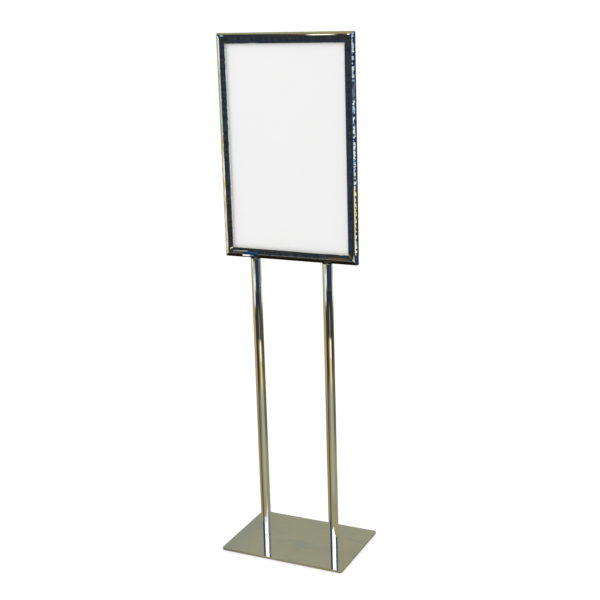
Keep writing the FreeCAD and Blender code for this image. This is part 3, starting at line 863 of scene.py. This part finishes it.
def foot_panels(tree, turn, height):
    """Bright light with a navy rim and a cream top, which the base plate throws up on the posts."""
    ragged = tree.ramp_up(streaks(tree, turn, height, 9.0, 0.25), 0.62, 0.68)
    foot_white = tree.mix(ragged, BRIGHT_SKY, shade(60, 78, 120))
    return (
        (shade(40, 60, 116), turn, (-42, 112), (25.4, 30), (4, 0.2)),
        (shade(240, 226, 170), turn, (50, 92), (25.0, 25.9), (5, 0.15)),
        (foot_white, turn, (-10, 68), (25.8, 40), (4, 0.15)),
    )


def make_room(tree, turn, height, sideways, mirrors_met):
    """What the chrome mirrors: a furnished room, by turn from straight ahead and by height.

    Sideways is the X of a direction in front, which stays the same right across a level rail. The
    panels at the foot are only seen by way of two mirrors: a post and the base plate.
    """
    room = plain_room(tree, height)
    for panels in (
        floor_panels(turn),
        wall_panels(tree, turn, height, sideways),
        corner_panels(tree, turn, height, sideways),
        glint_lamp_panels(turn),
        window_panels(tree, turn, height),
    ):
        room = paint(tree, room, height, panels)
    at_foot = paint(tree, room, height, foot_panels(tree, turn, height))
    past_one_mirror = tree.maths("GREATER_THAN", mirrors_met, 1.5)
    return tree.mix(past_one_mirror, room, at_foot)


def make_world():
    """White studio for the eye and for soft light; a furnished room for what the chrome mirrors."""
    world = bpy.data.worlds.new("studio")
    bpy.context.scene.world = world
    world.use_nodes = True
    tree = Tree(world.node_tree)
    direction = tree.add("ShaderNodeTexCoord").outputs["Generated"]
    parts = tree.split(direction)
    ahead = tree.maths("MULTIPLY", parts["Y"], -1.0)
    turn = tree.maths("DEGREES", tree.maths("ARCTAN2", parts["X"], ahead))
    height = tree.maths("DEGREES", tree.maths("ARCSINE", parts["Z"]))

    # What lies behind gets a sideways past all the panels, which are in front
    is_behind = tree.maths("GREATER_THAN", parts["Y"], 0.0)
    out_of_range = tree.maths("MULTIPLY", is_behind, 4.0)
    sideways = tree.maths("ADD", parts["X"], out_of_range)

    path = tree.add("ShaderNodeLightPath")
    room = make_room(tree, turn, height, sideways, path.outputs["Glossy Depth"])

    lit, white = (1.06, 1.06, 1.06, 1), (1.02, 1.02, 1.02, 1)
    backdrop = tree.mix(path.outputs["Is Camera Ray"], lit, white)
    seen = tree.mix(path.outputs["Is Glossy Ray"], backdrop, room)
    background = tree.add("ShaderNodeBackground")
    tree.feed(background.inputs["Color"], seen)
    output = tree.add("ShaderNodeOutputWorld")
    tree.feed(output.inputs["Surface"], background.outputs["Background"])


def make_floor():
    mesh = bpy.data.meshes.new("studio_floor")
    half = FLOOR_HALF
    corners = [(-half, -half, 0), (half, -half, 0), (half, half, 0), (-half, half, 0)]
    mesh.from_pydata(corners, [], [(0, 1, 2, 3)])
    mesh.materials.append(floor_paint())
    floor = bpy.data.objects.new("studio_floor", mesh)
    bpy.context.scene.collection.objects.link(floor)
    floor.visible_glossy = False


def make_light():
    """One large soft lamp, high on the viewer's left."""
    lamp = bpy.data.lights.new("soft_lamp", "AREA")
    lamp.shape = "DISK"
    lamp.size = LAMP_WIDTH
    lamp.energy = LAMP_WATTS
    holder = bpy.data.objects.new("soft_lamp", lamp)
    holder.location = LAMP_PLACE
    aim = Vector(LAMP_AIM) - holder.location
    holder.rotation_euler = aim.to_track_quat("-Z", "Y").to_euler()
    holder.visible_glossy = False
    bpy.context.scene.collection.objects.link(holder)


def make_camera():
    lens = bpy.data.cameras.new("camera")
    lens.lens = CAMERA_LENS
    lens.sensor_width = CAMERA_SENSOR
    camera = bpy.data.objects.new("camera", lens)
    turn = Matrix.Rotation(math.radians(CAMERA_TURN), 4, "Z")
    tilt = Matrix.Rotation(math.radians(90 - CAMERA_DOWN), 4, "X")
    roll = Matrix.Rotation(math.radians(CAMERA_ROLL), 4, "Z")
    camera.matrix_world = Matrix.Translation(Vector(CAMERA_PLACE)) @ turn @ tilt @ roll
    bpy.context.scene.collection.objects.link(camera)
    bpy.context.scene.camera = camera


tube_chrome = chrome(
    "chrome_tube",
    clean=(0.93, 0.94, 0.95, 1),
    stained=(0.9, 0.88, 0.82, 1),
    smooth=0.0,
    dull=0.06,
    ripple_size=16 * MM,
    ripple_height=0.006 * MM,
    grain_direction=(600, 600, 30),
)
plate_chrome = chrome(
    "chrome_plate",
    clean=(0.92, 0.92, 0.9, 1),
    stained=(0.88, 0.87, 0.8, 1),
    smooth=0.07,
    dull=0.2,
    ripple_size=30 * MM,
    ripple_height=0.004 * MM,
    grain_direction=(14, 900, 200),
    tarnish_and_reflection=(0.76, 0.84, 0.93, 1),
)
zinc = zinc_steel()
rubber = pad_rubber()

for side in SIDES:
    make_post(side, tube_chrome)
for name in FRAME_MEMBERS:
    make_member(name, tube_chrome)
make_plate(plate_chrome)
for side in SIDES:
    for kind in ZINC_KINDS:
        finish_node(f"{side}_{kind}", zinc, FASTENER_BEVEL)
for name in PADS:
    finish_node(name, rubber)
make_card(card_board())

make_world()
make_floor()
make_light()
make_camera()
bpy.context.scene.view_settings.view_transform = "Standard"
